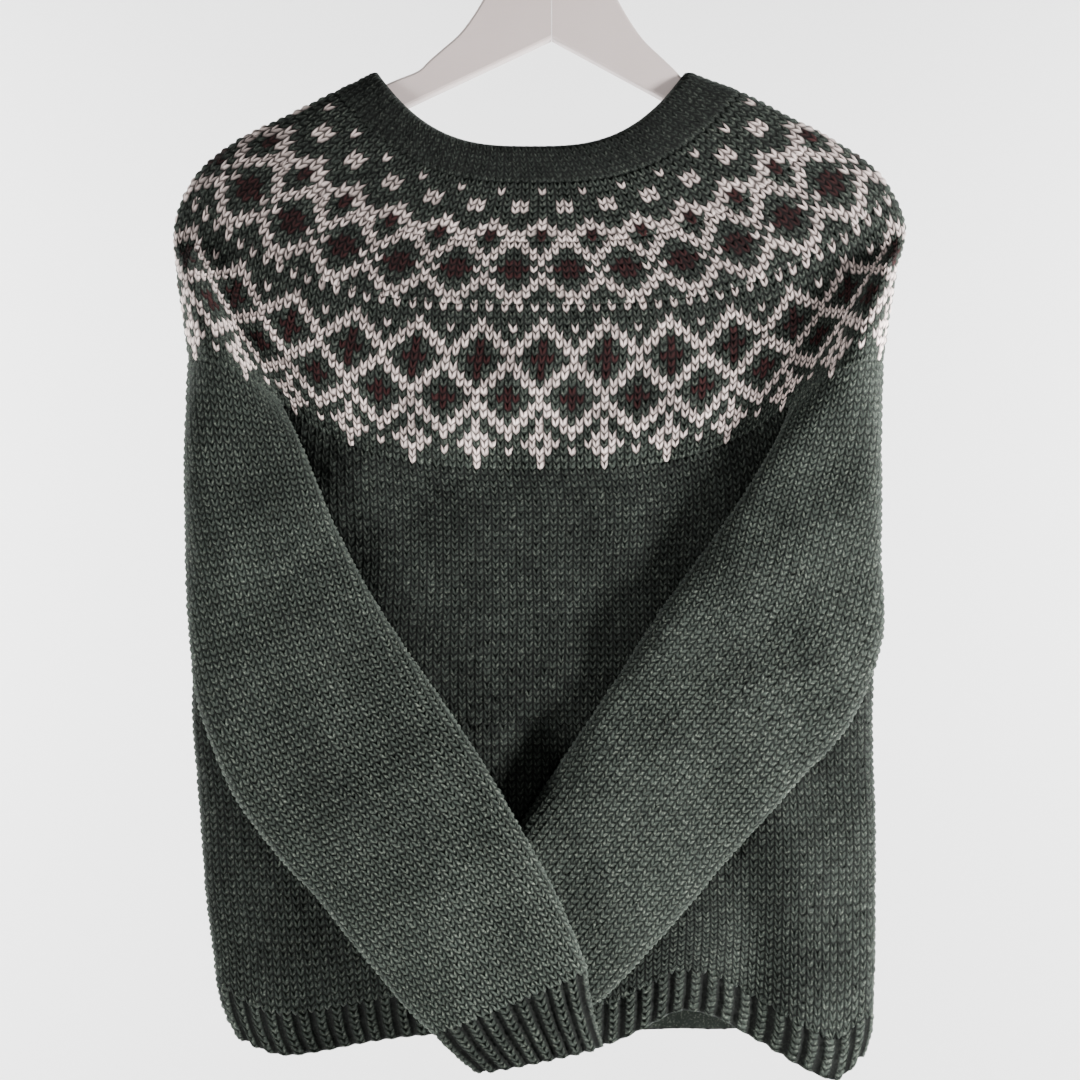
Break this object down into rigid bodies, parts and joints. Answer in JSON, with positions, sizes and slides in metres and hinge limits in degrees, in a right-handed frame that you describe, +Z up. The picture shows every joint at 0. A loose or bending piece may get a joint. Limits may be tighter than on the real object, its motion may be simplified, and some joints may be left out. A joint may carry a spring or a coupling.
{
  "type": "snowflake sweater on a hanger",
  "caption": "Long-sleeved round-yoke wool sweater with a patterned yoke and ribbed edges, hanging on a wooden hanger with its sleeves crossed in front.",
  "frame": {"origin": "inner top of the hanger's hook, where a rail carries it", "axes": "+Z up, the sweater's front faces -Y, +X to the viewer's right"},
  "size_m": [0.5124, 0.1101, 0.8529],
  "materials": {
    "wool_pattern": "matte stranded knit, dark green with pale and burgundy yarn",
    "wool_green": "matte heathered dark green knit",
    "white_wood": "white paint, satin",
    "steel": "polished wire"
  },
  "bodies": {
    "root": {"yoke": "wool_pattern", "collar_rib": "wool_green", "body": "wool_green", "hem_rib": "wool_green", "sleeve_left": "wool_green", "sleeve_right": "wool_green", "cuff_left": "wool_green", "cuff_right": "wool_green", "hanger_arm_left": "white_wood", "hanger_arm_right": "white_wood", "hanger_hook": "steel"}
  },
  "joints": []
}
